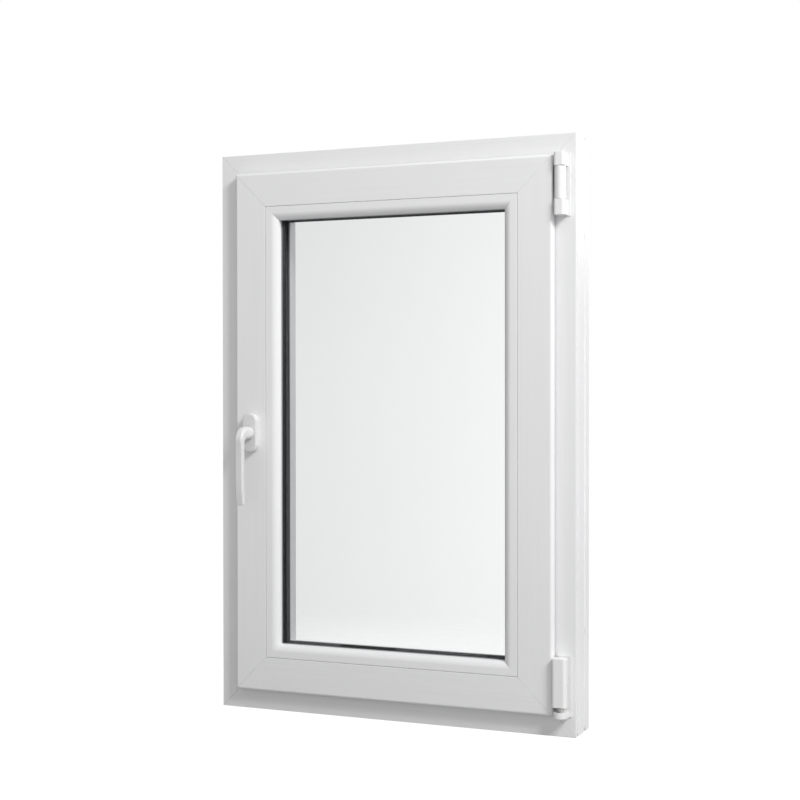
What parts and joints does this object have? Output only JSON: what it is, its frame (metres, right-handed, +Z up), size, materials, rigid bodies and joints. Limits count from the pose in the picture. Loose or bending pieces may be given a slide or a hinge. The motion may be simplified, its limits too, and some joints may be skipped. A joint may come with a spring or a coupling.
{
  "type": "casement window",
  "caption": "Tilt-and-turn casement window: outer frame, double-glazed sash hung on corner and stay hinges, lever handle driving edge locking rods.",
  "frame": {"origin": "middle of the sill's underside: mid-width and mid-depth of the outer frame", "axes": "+X to the right seen from the room (towards the hinges), +Y out through the wall, +Z up"},
  "size_m": [0.6, 0.132, 0.9],
  "materials": {
    "frame_upvc": "white extruded uPVC, satin gloss",
    "sash_upvc": "white extruded uPVC, satin gloss",
    "bead_upvc": "white extruded uPVC, satin gloss",
    "zinc_steel": "galvanised rolled steel channel",
    "seal_rubber": "black EPDM",
    "gasket_rubber": "dark grey EPDM",
    "pane_glass": "clear float glass",
    "spacer_dark": "near-black warm-edge spacer with fine perforations",
    "sealant_black": "black polysulfide",
    "block_plastic": "moulded polypropylene",
    "striker_zinc": "zinc die casting, passivated",
    "gear_steel": "zinc-plated steel",
    "screw_steel": "zinc-plated steel",
    "hinge_white": "white powder coat",
    "cover_white": "white moulded ABS, gloss",
    "handle_white": "white powder coat, semi-gloss"
  },
  "bodies": {
    "frame": {"frame_head": "frame_upvc", "frame_sill": "frame_upvc", "frame_jamb_lock": "frame_upvc", "frame_jamb_hinge": "frame_upvc", "frame_steel_head": "zinc_steel", "frame_steel_sill": "zinc_steel", "frame_steel_jamb_lock": "zinc_steel", "frame_steel_jamb_hinge": "zinc_steel", "frame_seal": "seal_rubber", "striker_lock_low": "striker_zinc", "striker_lock_high": "striker_zinc", "striker_head": "striker_zinc", "striker_sill": "striker_zinc", "striker_screws": "screw_steel", "hinge_lower_foot": "hinge_white", "hinge_lower_screws": "screw_steel", "hinge_upper_bracket": "hinge_white", "hinge_upper_screws": "screw_steel", "hinge_upper_pin": "gear_steel", "hinge_upper_cover_low": "cover_white", "hinge_upper_cover_top": "cover_white"},
    "hinge_pivot": {"hinge_pivot_pin": "gear_steel"},
    "stay": {"stay_arm": "gear_steel", "stay_sleeve": "cover_white", "stay_stud": "gear_steel"},
    "sash": {"sash_top_rail": "sash_upvc", "sash_bottom_rail": "sash_upvc", "sash_stile_lock": "sash_upvc", "sash_stile_hinge": "sash_upvc", "sash_steel_top_rail": "zinc_steel", "sash_steel_bottom_rail": "zinc_steel", "sash_steel_stile_lock": "zinc_steel", "sash_steel_stile_hinge": "zinc_steel", "bead_top_rail": "bead_upvc", "bead_bottom_rail": "bead_upvc", "bead_stile_lock": "bead_upvc", "bead_stile_hinge": "bead_upvc", "gasket_inner": "gasket_rubber", "gasket_outer": "gasket_rubber", "pane_inner": "pane_glass", "pane_outer": "pane_glass", "spacer_frame": "spacer_dark", "edge_sealant": "sealant_black", "setting_blocks": "block_plastic", "sash_seal": "seal_rubber", "gearbox_case": "gear_steel", "faceplate_lock": "gear_steel", "faceplate_top": "gear_steel", "faceplate_bottom": "gear_steel", "hinge_lower_band": "gear_steel", "hinge_lower_sleeve": "cover_white", "handle_rosette": "handle_white", "handle_base": "cover_white", "handle_screws": "screw_steel"},
    "handle": {"handle_lever": "handle_white", "handle_spindle": "gear_steel", "drive_pinion": "gear_steel"},
    "rod_lock_side": {"rod_lock": "gear_steel"},
    "rod_head": {"rod_top": "gear_steel"},
    "rod_sill": {"rod_bottom": "gear_steel"}
  },
  "joints": [
    {"name": "turn", "type": "hinge", "parent": "frame", "child": "hinge_pivot", "pos_m": [0.2795, -0.048, 0.045], "axis": [0, 0, 1], "range_deg": [0, 90]},
    {"name": "tilt", "type": "hinge", "parent": "hinge_pivot", "child": "sash", "pos_m": [0.2795, -0.048, 0.045], "axis": [1, 0, 0], "range_deg": [0, 7]},
    {"name": "stay_swing", "type": "hinge", "parent": "hinge_pivot", "child": "stay", "pos_m": [0.2795, -0.048, 0.825], "axis": [0, 0, 1], "range_deg": [0, 22]},
    {"name": "handle_turn", "type": "hinge", "parent": "sash", "child": "handle", "pos_m": [-0.2375, -0.061, 0.449], "axis": [0, -1, 0], "range_deg": [0, 180]},
    {"name": "rod_lock_slide", "type": "slide", "parent": "sash", "child": "rod_lock_side", "axis": [0, 0, 1], "range_m": [0, 0.022]},
    {"name": "rod_head_slide", "type": "slide", "parent": "sash", "child": "rod_head", "axis": [1, 0, 0], "range_m": [0, 0.022]},
    {"name": "rod_sill_slide", "type": "slide", "parent": "sash", "child": "rod_sill", "axis": [-1, 0, 0], "range_m": [0, 0.022]}
  ],
  "couplings": [
    {"joint": "stay_swing", "follows": "tilt", "ratio": 3.1},
    {"joint": "rod_lock_slide", "follows": "handle_turn", "m_per_rad": 0.007},
    {"joint": "rod_head_slide", "follows": "handle_turn", "m_per_rad": 0.007},
    {"joint": "rod_sill_slide", "follows": "handle_turn", "m_per_rad": 0.007}
  ]
}
